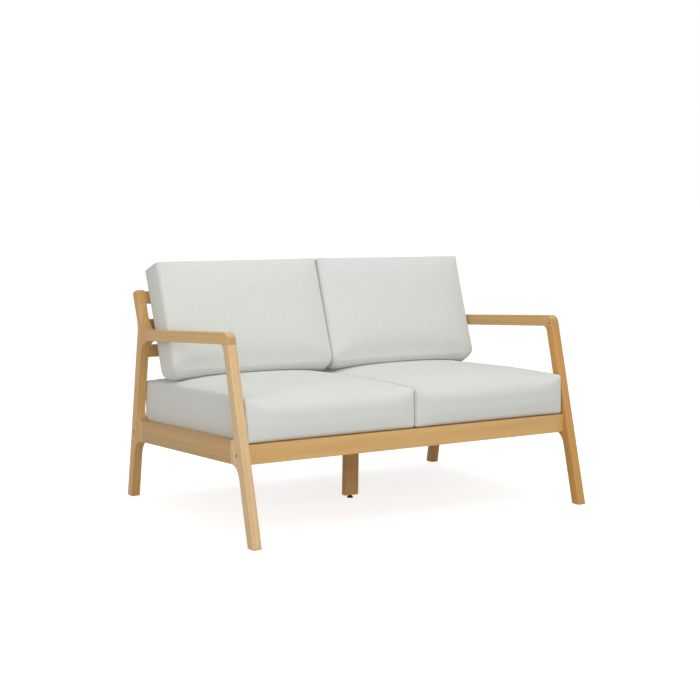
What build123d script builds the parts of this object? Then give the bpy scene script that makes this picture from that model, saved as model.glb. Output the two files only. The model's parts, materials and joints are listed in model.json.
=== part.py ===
from build123d import *
import os
from math import cos, radians, sin

os.makedirs("parts", exist_ok=True)

# Two-seat patio loveseat in oiled hardwood with four loose box cushions.
# Millimetres and degrees. X is the width, the front faces -Y, Z is up from the floor.
# Left and right are as seen from the front, so left is -X.

# Overall
frame_width = 1280.0
frame_depth = 886.0
seat_slope = 3.13

# Side frame timber
side_thickness = 30.0
leg_depth = 35.0
front_leg_lean = 15.5
rear_leg_lean = 8.4
arm_front_height = 627.0
arm_slope = 4.84
arm_depth = 36.5
side_rail_below_arm = 337.0
side_rail_depth = 72.0
bend_below_arm = 40.0
post_lean = 21.0
post_depth = 32.5
post_rise = 115.0
edge_round = 2.5
foot_round = 4.0
post_top_round = 6.0
arm_nose_radius = 28.0
arm_front_radius = 22.0
arm_rear_radius = 68.0
arm_post_radius = 55.0
bend_radius = 85.0
rail_front_top_radius = 16.0
rail_front_bottom_radius = 50.0
rail_rear_top_radius = 32.0
rail_rear_bottom_radius = 58.0

# Where the side frame's four timbers meet
arm_joint_drop = 1.0
arm_joint_from_heel = 173.0
rail_joint_from_toe = 145.0
rail_joint_from_heel = 117.0
cut_reach = 2000.0

# Pegged tenon at the top of each front leg
tenon_width = 24.0
tenon_thickness = 12.0
tenon_height = 20.0
joint_clearance = 0.1
peg_radius = 5.0
peg_height = 11.0
peg_length = 25.0

# Dowels
dowel_radius = 4.0
dowel_length = 40.0
dowel_clearance = 0.05
dowel_end_gap = 0.4
rail_dowel_spacing = 36.0
arm_dowel_spacing = 16.0

# Front and rear rails
rail_thickness = 24.0
rail_height = 60.0
front_rail_from_toe = 95.0
front_rail_below_side_rail = 54.0
rear_rail_inset = 5.0
rear_rail_drop = 2.0
front_rail_drop = 1.5

# Rail bolts, barrel nuts and the wood plugs that cover them
bolt_radius = 3.0
bolt_hole_radius = 3.3
bolt_head_radius = 5.0
bolt_head_height = 6.0
bolt_reach = 36.0
plug_radius = 6.0
plug_length = 7.0
barrel_radius = 5.0
barrel_length = 16.0
barrel_clearance = 0.1
barrel_setback = 30.0
socket_radius = 2.5
socket_depth = 3.0

# Seat deck
slat_count = 11
slat_width = 60.0
slat_thickness = 14.0
slat_end_gap = 2.0
slat_side_gap = 22.0
slat_round = 2.0
cleat_depth = 20.0
cleat_height = 22.0
cleat_end_gap = 6.0
stretcher_back_of_middle = 45.0
stretcher_thickness = 24.0
stretcher_height = 45.0
screw_radius = 2.0
screw_head_radius = 4.0
screw_head_height = 2.6
screw_length = 30.0
screw_clearance = 0.05
cleat_screw_length = 32.0

# Brackets at the ends of the middle stretcher
bracket_leg = 32.0
bracket_height = 24.0
bracket_thickness = 2.5
bracket_screw_length = 17.0
bracket_screw_inset = 9.0
bracket_hole_spacing = 12.0

# Centre leg and its levelling glide
centre_leg_width = 54.0
centre_leg_depth = 22.0
centre_leg_bottom_z = 11.0
centre_leg_drop = 2.0
leg_bolt_spacing = 16.0
leg_bolt_end = 21.0
washer_radius = 7.0
washer_thickness = 1.6
nut_radius = 5.6
nut_height = 5.0
insert_radius = 6.5
insert_length = 16.0
insert_flange_radius = 9.0
insert_flange_height = 1.5
stud_radius = 4.0
stud_length = 26.0
stud_clearance = 0.05
stud_travel = 3.0
collar_radius = 7.0
collar_height = 1.6
collar_gap = 0.4
neck_radius = 2.4
ball_radius = 3.2
ball_height = 4.0
ball_clearance = 0.05
well_clearance = 1.5
pad_top_radius = 9.0
pad_bottom_radius = 11.5
pad_height = 5.6
pad_round = 1.8

# Back slats, tenoned into the rear legs
back_slat_height = 40.0
back_slat_thickness = 18.0
back_slat_setback = 5.0
back_slat_top_gap = 4.0
back_slat_spacing = 96.0
lower_slat_below_bend = 86.0
slat_tenon_length = 15.0
slat_tenon_shoulder = 4.0

# Cushions
cushion_side_gap = 1.0
cushion_middle_gap = 0.6
cushion_clearance = 0.4
cover_thickness = 1.5
foam_clearance = 0.3
seat_cushion_height = 144.0
seat_cushion_setback = 3.0
seat_cushion_rear_gap = 6.0
seat_crown = 16.0
seat_edge_radius = 22.0
seat_bottom_radius = 9.0
seat_corner_radius = 13.0
seat_pull_in = 3.0
back_cushion_height = 384.0
back_cushion_sink = 16.0
back_cushion_thickness = 100.0
back_crown = 18.0
back_edge_radius = 6.0
back_corner_radius = 12.0
back_pull_in = 1.5

# Shares of the deck's width from its middle, at which the cleats are screwed to the rails
cleat_screw_shares = (-0.45, -0.15, 0.15, 0.45)
# Shares of an edge radius, along its rounding: how far in, and how far down
edge_in_shares = (1.0, 0.3, 0.0)
edge_down_shares = (0.0, 0.3, 1.0)
# Shares of the half width that the crown has climbed in, and of its height there
crown_in_shares = (0.10, 0.30, 0.55, 0.85)
crown_up_shares = (0.38, 0.74, 0.93, 1.0)

# Places worked out from the sizes above
outer_x = frame_width / 2
inner_x = outer_x - side_thickness
toe_y = -frame_depth / 2
heel_y = frame_depth / 2
bend_height = arm_front_height - bend_below_arm
side_rail_height = arm_front_height - side_rail_below_arm
lower_slat_z = bend_height - lower_slat_below_bend
front_rail_face_y = toe_y + front_rail_from_toe
front_rail_bottom_z = side_rail_height - front_rail_below_side_rail
stretcher_y = stretcher_back_of_middle


def line(point, degrees):
    # a line in the side view, through a point, at an angle up from the +Y direction
    return point, (cos(radians(degrees)), sin(radians(degrees)))


def shifted(base, distance):
    # the same line moved to its right, seen along its direction
    (y, z), (dy, dz) = base
    return (y + dz * distance, z - dy * distance), (dy, dz)


def meet(first, second):
    (ay, az), (ady, adz) = first
    (by, bz), (bdy, bdz) = second
    along = ((by - ay) * bdz - (bz - az) * bdy) / (ady * bdz - adz * bdy)
    return ay + ady * along, az + adz * along


def level(z):
    return line((0, z), 0)


def upright(y):
    return line((y, 0), 90)


def along(base, distance):
    (y, z), (dy, dz) = base
    return y + dy * distance, z + dz * distance


floor = level(0)
front_edge = line((toe_y, 0), 90 - front_leg_lean)
front_leg_back = shifted(front_edge, leg_depth)
heel_edge = line((heel_y, 0), 90 + rear_leg_lean)
rear_leg_front = shifted(heel_edge, -leg_depth)
arm_top = line(meet(front_edge, level(arm_front_height)), -arm_slope)
arm_bottom = shifted(arm_top, arm_depth)
side_rail_top = line((0, side_rail_height), -seat_slope)
side_rail_bottom = shifted(side_rail_top, side_rail_depth)
post_back = line(meet(heel_edge, level(bend_height)), 90 - post_lean)
post_front = shifted(post_back, -post_depth)
post_top = line(along(post_back, post_rise), -post_lean)

arm_front_joint = shifted(arm_bottom, arm_joint_drop)
arm_rear_joint = line(meet(arm_top, upright(heel_y - arm_joint_from_heel)), 90 - arm_slope)
rail_front_joint = line(meet(side_rail_top, upright(toe_y + rail_joint_from_toe)), 90 - seat_slope)
rail_rear_joint = line(meet(side_rail_top, upright(heel_y - rail_joint_from_heel)), 90 - seat_slope)

# The seat plane is the top of the deck slats, front edge at the front rail
front_rail_top_z = front_rail_bottom_z + rail_height
seat_line = line((front_rail_face_y, front_rail_top_z + front_rail_drop), -seat_slope)
slat_under = shifted(seat_line, slat_thickness)
seat_plane = Plane(
    origin=(0, *seat_line[0]),
    x_dir=(1, 0, 0),
    z_dir=(0, sin(radians(seat_slope)), cos(radians(seat_slope))),
)
front_rail_back_y = front_rail_face_y + rail_thickness
front_rail_centre = (front_rail_face_y + rail_thickness / 2, front_rail_bottom_z + rail_height / 2)
rear_rail_back_y = meet(heel_edge, seat_line)[0] - rear_rail_inset
rear_rail_face_y = rear_rail_back_y - rail_thickness
rear_rail_top_z = meet(seat_line, upright(rear_rail_face_y))[1] - rear_rail_drop
rear_rail_centre = (rear_rail_face_y + rail_thickness / 2, rear_rail_top_z - rail_height / 2)


def profile(points, x_start, x_end, radius=0):
    # a side view outline, with one radius or a list of them, as thick as from x_start to x_end
    outline = Wire.make_polygon([Vector(*p) for p in points], close=True)
    if radius:
        outline = FilletPolyline(*points, radius=radius, close=True)
    return Pos(x_start, 0, 0) * extrude(Plane.YZ * make_face(outline), amount=x_end - x_start)


def block(x_start, x_end, y_start, y_end, z_start, z_end):
    size = (x_end - x_start, y_end - y_start, z_end - z_start)
    return Pos(x_start, y_start, z_start) * Box(*size, align=(Align.MIN, Align.MIN, Align.MIN))


def rod(start, end, radius):
    start, end = Vector(*start), Vector(*end)
    turned = Plane(origin=start, z_dir=end - start)
    return turned * Cylinder(radius, (end - start).length, align=(Align.CENTER, Align.CENTER, Align.MIN))


def cone(start, end, start_radius, end_radius):
    start, end = Vector(*start), Vector(*end)
    turned = Plane(origin=start, z_dir=end - start)
    length = (end - start).length
    return turned * Cone(start_radius, end_radius, length, align=(Align.CENTER, Align.CENTER, Align.MIN))


def softened(solid, axis, radius):
    # rounds the long edges, those along one axis
    return fillet(solid.edges().filter_by(axis), radius)


def one(solid):
    return solid.solids()[0]


def dowel(start, direction, length=dowel_length):
    # a dowel centred on a joint, with the blind hole that it fills
    start, direction = Vector(*start), Vector(*direction).normalized()
    half = direction * (length / 2)
    past = direction * (length / 2 + dowel_end_gap)
    pin = rod(start - half, start + half, dowel_radius)
    hole = rod(start - past, start + past, dowel_radius + dowel_clearance)
    return pin, hole


# Side frame

def side_outline():
    outer = [
        meet(front_edge, floor),
        meet(front_edge, arm_top),
        meet(arm_top, post_front),
        meet(post_front, post_top),
        meet(post_top, post_back),
        meet(post_back, heel_edge),
        meet(heel_edge, floor),
        meet(rear_leg_front, floor),
        meet(rear_leg_front, side_rail_bottom),
        meet(front_leg_back, side_rail_bottom),
        meet(front_leg_back, floor),
    ]
    outer_radii = [
        foot_round,
        arm_nose_radius,
        arm_post_radius,
        post_top_round,
        post_top_round,
        bend_radius,
        foot_round,
        foot_round,
        rail_rear_bottom_radius,
        rail_front_bottom_radius,
        foot_round,
    ]
    window = [
        meet(rear_leg_front, side_rail_top),
        meet(rear_leg_front, arm_bottom),
        meet(front_leg_back, arm_bottom),
        meet(front_leg_back, side_rail_top),
    ]
    window_radii = [rail_rear_top_radius, arm_rear_radius, arm_front_radius, rail_front_top_radius]
    whole = profile(outer, -outer_x, -inner_x, outer_radii)
    opening = profile(window, -outer_x, -inner_x, window_radii)
    whole = whole - opening
    rims = whole.faces().filter_by(Axis.X).edges()
    return fillet(rims, edge_round)


def side_frame():
    # the left frame's timbers, cut from one outline so that its curves run across the joints
    whole = side_outline()
    middle_x = -outer_x + side_thickness / 2
    square_to_arm = (sin(radians(arm_slope)), cos(radians(arm_slope)))
    in_front = upright(-cut_reach)
    above = level(cut_reach)
    below = level(-cut_reach)
    window_line = shifted(side_rail_top, -side_rail_depth)
    arm_region = profile(
        [
            meet(arm_front_joint, in_front),
            meet(arm_front_joint, arm_rear_joint),
            meet(arm_rear_joint, above),
            (-cut_reach, cut_reach),
        ],
        -outer_x,
        -inner_x,
    )
    rail_region = profile(
        [
            meet(rail_front_joint, below),
            meet(rail_front_joint, window_line),
            meet(rail_rear_joint, window_line),
            meet(rail_rear_joint, below),
        ],
        -outer_x,
        -inner_x,
    )
    arm = one(whole & arm_region)
    side_rail = one(whole & rail_region)
    legs = (whole - arm_region - rail_region).solids().sort_by(Axis.Y)
    front_leg, rear_leg = legs[0], legs[-1]

    # the pegged tenon
    tenon_foot = meet(arm_front_joint, front_edge)
    tenon_back = meet(arm_front_joint, front_leg_back)
    tenon_y = (tenon_foot[0] + tenon_back[0]) / 2
    tenon_z = (tenon_foot[1] + tenon_back[1]) / 2

    def tenon(grow):
        flat = Plane(origin=(middle_x, tenon_y, tenon_z), x_dir=(1, 0, 0), z_dir=(0, *square_to_arm))
        size = (tenon_thickness + grow * 2, tenon_width + grow * 2, tenon_height + grow)
        return flat * Box(*size, align=(Align.CENTER, Align.CENTER, Align.MIN))

    peg_place = along(((tenon_y, tenon_z), square_to_arm), peg_height)
    peg = rod((-inner_x, *peg_place), (-inner_x - peg_length, *peg_place), peg_radius)
    peg_hole = rod(
        (-inner_x, *peg_place),
        (-inner_x - peg_length - dowel_end_gap, *peg_place),
        peg_radius + dowel_clearance,
    )
    front_leg = one(front_leg + tenon(0) - peg_hole)
    arm = one(arm - tenon(joint_clearance) - peg_hole)

    # dowels across the other three joints
    dowels = []

    def doweled(base, centre, spacing, first, second, direction):
        (by, bz), (dy, dz) = base
        for step in (-spacing / 2, spacing / 2):
            place = (middle_x, centre[0] + dy * step, centre[1] + dz * step)
            pin, hole = dowel(place, (0, *direction))
            dowels.append(pin)
            first, second = one(first - hole), one(second - hole)
        return first, second

    arm_centre = meet(arm_rear_joint, shifted(arm_top, arm_depth / 2))
    arm, rear_leg = doweled(
        arm_rear_joint, arm_centre, arm_dowel_spacing, arm, rear_leg, arm_top[1]
    )
    rail_middle = shifted(side_rail_top, side_rail_depth / 2)
    side_rail, front_leg = doweled(
        rail_front_joint,
        meet(rail_front_joint, rail_middle),
        rail_dowel_spacing,
        side_rail,
        front_leg,
        side_rail_top[1],
    )
    side_rail, rear_leg = doweled(
        rail_rear_joint,
        meet(rail_rear_joint, rail_middle),
        rail_dowel_spacing,
        side_rail,
        rear_leg,
        side_rail_top[1],
    )
    return {
        "front_leg": front_leg,
        "rear_leg": rear_leg,
        "arm": arm,
        "side_rail": side_rail,
        "arm_peg": peg,
    }, dowels


# Bolted corner joints between the side frames and the front and rear rails

def corner_fixings(centre, nut_side):
    # for the left end of a rail: its bolt, barrel nut, plug and two dowels, and their holes
    y, z = centre
    plug = rod((-outer_x, y, z), (-outer_x + plug_length, y, z), plug_radius)
    plug_hole = rod(
        (-outer_x, y, z),
        (-outer_x + plug_length + bolt_head_height, y, z),
        plug_radius + dowel_clearance,
    )
    head_x = -outer_x + plug_length
    shank_x = head_x + bolt_head_height
    head = rod((head_x, y, z), (shank_x, y, z), bolt_head_radius)
    shank = rod((shank_x, y, z), (-inner_x + bolt_reach, y, z), bolt_radius)
    socket = rod((head_x, y, z), (head_x + socket_depth, y, z), socket_radius)
    bolt = head + shank - socket
    bolt_hole = rod((head_x, y, z), (-inner_x + bolt_reach + dowel_end_gap, y, z), bolt_hole_radius)
    barrel_x = -inner_x + barrel_setback
    open_y = y + nut_side * rail_thickness / 2
    end_y = open_y - nut_side * barrel_length
    barrel = rod((barrel_x, open_y, z), (barrel_x, end_y, z), barrel_radius)
    barrel = barrel - rod((-inner_x, y, z), (0, y, z), bolt_radius + barrel_clearance)
    deep_y = end_y - nut_side * dowel_end_gap
    barrel_hole = rod((barrel_x, open_y, z), (barrel_x, deep_y, z), barrel_radius + barrel_clearance)
    pins, holes = [], [plug_hole, bolt_hole, barrel_hole]
    for step in (-rail_dowel_spacing / 2, rail_dowel_spacing / 2):
        pin, hole = dowel((-inner_x, y, z + step), (1, 0, 0))
        pins.append(pin)
        holes.append(hole)
    return {"rail_bolts": bolt, "barrel_nuts": barrel, "bolt_plugs": plug, "frame_dowels": pins}, holes


def cross_rail(face_y, bottom_z):
    board = block(-inner_x, inner_x, face_y, face_y + rail_thickness, bottom_z, bottom_z + rail_height)
    return softened(board, Axis.X, edge_round)


# Seat deck

def deck_board(y_start, thickness, height):
    # a board from side to side under the slats, its top cut to the seat's slope
    y_end = y_start + thickness
    top_start = meet(slat_under, upright(y_start))
    top_end = meet(slat_under, upright(y_end))
    bottom = top_end[1] - height
    return [top_start, top_end, (y_end, bottom), (y_start, bottom)]


def screw(place, direction, length, drive):
    # a countersunk screw, its head flush at the place, and the hole that it fills
    start, way = Vector(*place), Vector(*direction).normalized()
    neck, tip = start + way * screw_head_height, start + way * length
    body = cone(start, neck, screw_head_radius, screw_radius) + rod(neck, tip, screw_radius)
    grown = screw_radius + screw_clearance
    hole = cone(start, neck, screw_head_radius + screw_clearance, grown)
    hole = hole + rod(neck, tip + way * dowel_end_gap, grown)
    recess = rod(start, start + way * screw_head_height / 2, screw_radius / 2)
    return (body - recess if drive else body), hole


slat_pitch = (inner_x * 2 - slat_side_gap * 2 - slat_width) / (slat_count - 1)
slat_places = [slat_pitch * (n - (slat_count - 1) / 2) for n in range(slat_count)]
front_cleat_y = front_rail_back_y
rear_cleat_y = rear_rail_face_y - cleat_depth
slat_front = (front_rail_back_y + slat_end_gap - front_rail_face_y) / cos(radians(seat_slope))
slat_back = (rear_rail_face_y - slat_end_gap - front_rail_face_y) / cos(radians(seat_slope))


def seat_deck(front_rail, rear_rail):
    parts = {}
    cleat_end = inner_x - cleat_end_gap
    front_cleat = profile(deck_board(front_cleat_y, cleat_depth, cleat_height), -cleat_end, cleat_end)
    rear_cleat = profile(deck_board(rear_cleat_y, cleat_depth, cleat_height), -cleat_end, cleat_end)
    stretcher = profile(
        deck_board(stretcher_y, stretcher_thickness, stretcher_height), -inner_x, inner_x
    )
    screws, holes = [], []
    for slat_x in slat_places:
        for y in (
            front_cleat_y + cleat_depth / 2,
            stretcher_y + stretcher_thickness / 2,
            rear_cleat_y + cleat_depth / 2,
        ):
            place = (slat_x, *meet(seat_line, upright(y)))
            way = seat_plane.z_dir * -1
            piece, hole = screw(place, (way.X, way.Y, way.Z), screw_length, True)
            screws.append(piece)
            holes.append(hole)
    for number, slat_x in enumerate(slat_places, 1):
        board = block(
            slat_x - slat_width / 2, slat_x + slat_width / 2, slat_front, slat_back, -slat_thickness, 0
        )
        board = seat_plane * softened(board, Axis.Y, slat_round)
        first = (number - 1) * 3
        parts[f"seat_slat_{number:02d}"] = one(board - holes[first : first + 3])
    cleat_screws, cleat_holes = [], []
    for share in cleat_screw_shares:
        # between the slats, as no screw may meet another
        x = slat_pitch * (slat_count - 1) * share
        for y, way in ((front_cleat_y + cleat_depth, -1), (rear_cleat_y, 1)):
            z = meet(slat_under, upright(y))[1] - cleat_height / 2
            piece, hole = screw((x, y, z), (0, way, 0), cleat_screw_length, True)
            cleat_screws.append(piece)
            cleat_holes.append(hole)
    parts["front_cleat"] = one(front_cleat - holes - cleat_holes)
    parts["rear_cleat"] = one(rear_cleat - holes - cleat_holes)
    parts["middle_stretcher"] = one(stretcher - holes)
    parts["slat_screws"] = screws
    parts["cleat_screws"] = cleat_screws
    return parts, one(front_rail - cleat_holes), one(rear_rail - cleat_holes)


# Brackets behind the middle stretcher's left end

def bracket():
    y = stretcher_y + stretcher_thickness
    top = meet(slat_under, upright(y + bracket_leg))[1] - bracket_thickness
    bottom = top - bracket_height
    flat = block(-inner_x, -inner_x + bracket_leg, y, y + bracket_thickness, bottom, top)
    turned = block(-inner_x, -inner_x + bracket_thickness, y, y + bracket_leg, bottom, top)
    plate = flat + turned
    middle = (top + bottom) / 2
    screws, stretcher_holes, rail_holes = [], [], []
    for step in (-bracket_hole_spacing / 2, bracket_hole_spacing / 2):
        first, first_hole = screw(
            (-inner_x + bracket_leg - bracket_screw_inset, y + bracket_thickness, middle + step),
            (0, -1, 0),
            bracket_screw_length,
            True,
        )
        second, second_hole = screw(
            (-inner_x + bracket_thickness, y + bracket_leg - bracket_screw_inset, middle + step),
            (-1, 0, 0),
            bracket_screw_length,
            True,
        )
        screws += [first, second]
        stretcher_holes.append(first_hole)
        rail_holes.append(second_hole)
    plate = plate - stretcher_holes - rail_holes
    return one(plate), screws, stretcher_holes, rail_holes


# Centre leg, its bolts and its levelling glide

def centre_leg(stretcher):
    front_y = stretcher_y - centre_leg_depth
    top = meet(slat_under, upright(stretcher_y))[1] - centre_leg_drop
    half = centre_leg_width / 2
    leg = block(-half, half, front_y, stretcher_y, centre_leg_bottom_z, top)
    leg = softened(leg, Axis.Z, edge_round)
    middle_y = front_y + centre_leg_depth / 2
    back_y = stretcher_y + stretcher_thickness
    bolts, nuts, washers = [], [], []
    for n in range(2):
        z = top - leg_bolt_end - leg_bolt_spacing * n
        end_y = back_y + washer_thickness + nut_height
        seat_y = front_y - washer_thickness
        head = rod((0, seat_y - bolt_head_height, z), (0, seat_y, z), bolt_head_radius)
        shank = rod((0, seat_y, z), (0, end_y, z), bolt_radius)
        socket = rod(
            (0, seat_y - bolt_head_height, z),
            (0, seat_y - bolt_head_height + socket_depth, z),
            socket_radius,
        )
        bolts.append(head + shank - socket)
        gap = rod((0, seat_y, z), (0, end_y, z), bolt_radius + dowel_clearance)
        nut_flat = Plane(origin=(0, back_y + washer_thickness, z), z_dir=(0, 1, 0))
        nut = extrude(nut_flat * RegularPolygon(nut_radius, 6), amount=nut_height)
        nuts.append(nut - gap)
        washers.append(rod((0, seat_y, z), (0, front_y, z), washer_radius) - gap)
        washers.append(rod((0, back_y, z), (0, back_y + washer_thickness, z), washer_radius) - gap)
        bore = rod((0, front_y, z), (0, back_y, z), bolt_hole_radius)
        leg, stretcher = leg - bore, stretcher - bore

    bottom = centre_leg_bottom_z
    top_of_insert = bottom + insert_length
    sleeve = rod((0, middle_y, bottom), (0, middle_y, top_of_insert), insert_radius)
    flange = rod((0, middle_y, bottom), (0, middle_y, bottom + insert_flange_height), insert_flange_radius)
    through = rod((0, middle_y, 0), (0, middle_y, top), stud_radius + stud_clearance)
    insert = sleeve + flange - through
    collar_z = pad_height + collar_gap
    stud_top = collar_z + stud_length
    well_top = stud_top + stud_travel + well_clearance
    well = rod((0, middle_y, bottom), (0, middle_y, well_top), stud_radius + well_clearance)
    leg = leg - sleeve - flange - well
    stud = rod((0, middle_y, collar_z), (0, middle_y, stud_top), stud_radius)
    stud = stud + rod((0, middle_y, ball_height), (0, middle_y, collar_z), neck_radius)
    collar_flat = Plane(origin=(0, middle_y, collar_z), z_dir=(0, 0, 1))
    stud = stud + extrude(collar_flat * RegularPolygon(collar_radius, 6), amount=collar_height)
    stud = stud + Pos(0, middle_y, ball_height) * Sphere(ball_radius)
    pad = cone((0, middle_y, 0), (0, middle_y, pad_height), pad_bottom_radius, pad_top_radius)
    pad = fillet(pad.edges().filter_by(GeomType.CIRCLE), pad_round)
    pad = pad - Pos(0, middle_y, ball_height) * Sphere(ball_radius + ball_clearance)
    return {
        "centre_leg": one(leg),
        "centre_leg_bolts": bolts,
        "centre_leg_nuts": nuts,
        "centre_leg_washers": washers,
        "glide_insert": one(insert),
        "glide_stud": one(stud),
        "glide_pad": one(pad),
    }, one(stretcher)


# Back slats

def back_slat(front_line, start):
    # a slat behind the front line of the rear legs, its top edge at the start
    way_y, way_z = front_line[1]
    flat = Plane(origin=(0, *start), x_dir=(-1, 0, 0), z_dir=(0, way_z, -way_y))
    thick = back_slat_thickness
    board = block(-inner_x, inner_x, -back_slat_height, 0, back_slat_setback, back_slat_setback + thick)
    board = softened(board, Axis.X, slat_round)
    inset = slat_tenon_shoulder

    def tenons(grow):
        reach = inner_x + slat_tenon_length + grow
        low, high = -back_slat_height + inset - grow, -inset + grow
        near = back_slat_setback + inset - grow
        far = back_slat_setback + thick - inset + grow
        return block(-reach, reach, low, high, near, far)

    return flat * (board + tenons(0)), flat * tenons(joint_clearance)


# Cushions

def cushion_outline(width, depth, radius, pull_in):
    # a rectangle with round corners, whose sides draw in between them
    half_w, half_d = width / 2, depth / 2
    bend = radius * (1 - cos(radians(45)))
    corners = []
    for sx, sy in ((1, -1), (1, 1), (-1, 1), (-1, -1)):
        along_x = Vector(sx * (half_w - radius), sy * half_d)
        along_y = Vector(sx * half_w, sy * (half_d - radius))
        turn = Vector(sx * (half_w - bend), sy * (half_d - bend))
        corners.append((along_x, turn, along_y) if sx * sy < 0 else (along_y, turn, along_x))
    middles = (
        Vector(half_w - pull_in, 0),
        Vector(0, half_d - pull_in),
        Vector(-half_w + pull_in, 0),
        Vector(0, -half_d + pull_in),
    )
    edges = []
    for n, (start, turn, end) in enumerate(corners):
        edges.append(Edge.make_three_point_arc(start, turn, end))
        edges.append(Edge.make_three_point_arc(end, middles[n], corners[(n + 1) % 4][0]))
    return Wire(edges)


def cushion_form(width, depth, height, corner, pull_in, low_edge, high_edge, low_crown, high_crown, inset):
    # sections stacked up from the lower crown to the upper one, all drawn in by the inset
    low, high = inset, height - inset
    half = min(width, depth) / 2
    levels = []
    for share_in, share_up in reversed(list(zip(crown_in_shares, crown_up_shares))):
        if low_crown:
            levels.append((low - low_crown * share_up, low_edge + (half - low_edge) * share_in))
    for share_in, share_down in zip(edge_in_shares, edge_down_shares):
        levels.append((low + low_edge * share_down, low_edge * share_in))
    for share_in, share_down in reversed(list(zip(edge_in_shares, edge_down_shares))):
        levels.append((high - high_edge * share_down, high_edge * share_in))
    for share_in, share_up in zip(crown_in_shares, crown_up_shares):
        if high_crown:
            levels.append((high + high_crown * share_up, high_edge + (half - high_edge) * share_in))
    wires = []
    for z, into in levels:
        w, d = width - 2 * (into + inset), depth - 2 * (into + inset)
        radius = min(corner + into / 4, w / 3, d / 3)
        wires.append(Pos(0, 0, z) * cushion_outline(w, d, radius, pull_in))
    return one(Solid.make_loft(wires, ruled=True))


cushion_width = (inner_x * 2 - cushion_side_gap * 2 - cushion_middle_gap) / 2
cushion_x = cushion_middle_gap / 2 + cushion_width / 2
seat_run = rear_rail_face_y - seat_cushion_rear_gap - front_rail_face_y
seat_cushion_depth = seat_run / cos(radians(seat_slope)) - seat_cushion_setback


def seat_cushion(inset):
    return cushion_form(
        cushion_width,
        seat_cushion_depth,
        seat_cushion_height,
        seat_corner_radius,
        seat_pull_in,
        seat_bottom_radius,
        seat_edge_radius,
        0,
        seat_crown,
        inset,
    )


def back_cushion(inset):
    return cushion_form(
        cushion_width,
        back_cushion_height,
        back_cushion_thickness,
        back_corner_radius,
        back_pull_in,
        back_edge_radius,
        back_edge_radius,
        back_crown,
        back_crown,
        inset,
    )


def seat_space(grow):
    # the space up to the seat cushions' crowns, where the back cushions are pressed flat
    top = cushion_clearance * 2 + seat_cushion_height + seat_crown + grow
    return seat_plane * block(-outer_x, outer_x, 0, frame_depth, 0, top)


def cushion_pair(form, place, pressed):
    # a cover with the foam inside it, both in the cushion's own place
    layers = []
    for inset in (0, cover_thickness, cover_thickness + foam_clearance):
        layer = place * form(inset)
        layers.append(one(layer - seat_space(inset)) if pressed else layer)
    outer, inner, foam = layers
    return one(outer - inner), foam


def cushions():
    parts = {}
    seat_middle = seat_cushion_setback + seat_cushion_depth / 2
    # the back cushion stands on its lower back edge and leans as the posts do
    lean_up = Vector(0, sin(radians(post_lean)), cos(radians(post_lean)))
    lean_front = Vector(0, -cos(radians(post_lean)), sin(radians(post_lean)))
    rest = shifted(post_front, back_slat_setback)
    back_face = shifted(rest, -(back_crown + cushion_clearance))
    seat_top = shifted(seat_line, -(cushion_clearance * 2 + seat_cushion_height + seat_crown))
    foot = meet(back_face, seat_top)
    for side, sign in (("left", -1), ("right", 1)):
        x = sign * cushion_x
        seat_place = seat_plane * Pos(x, seat_middle, cushion_clearance)
        cover, foam = cushion_pair(seat_cushion, seat_place, False)
        parts[f"{side}_seat_cushion_cover"] = cover
        parts[f"{side}_seat_cushion_foam"] = foam
        start = Vector(x, *foot) + lean_up * (back_cushion_height / 2 - back_cushion_sink)
        back_place = Plane(origin=start, x_dir=(-1, 0, 0), z_dir=lean_front)
        cover, foam = cushion_pair(back_cushion, back_place, True)
        parts[f"{side}_back_cushion_cover"] = cover
        parts[f"{side}_back_cushion_foam"] = foam
    return parts


def both_sides(piece):
    return [piece, mirror(piece, about=Plane.YZ)]


def write(node, pieces):
    if not isinstance(pieces, list):
        pieces = [pieces]
    solids = [solid for piece in pieces for solid in piece.solids()]
    shape = solids[0] if len(solids) == 1 else Compound(children=solids)
    export_step(shape, f"parts/{node}.step")


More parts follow.
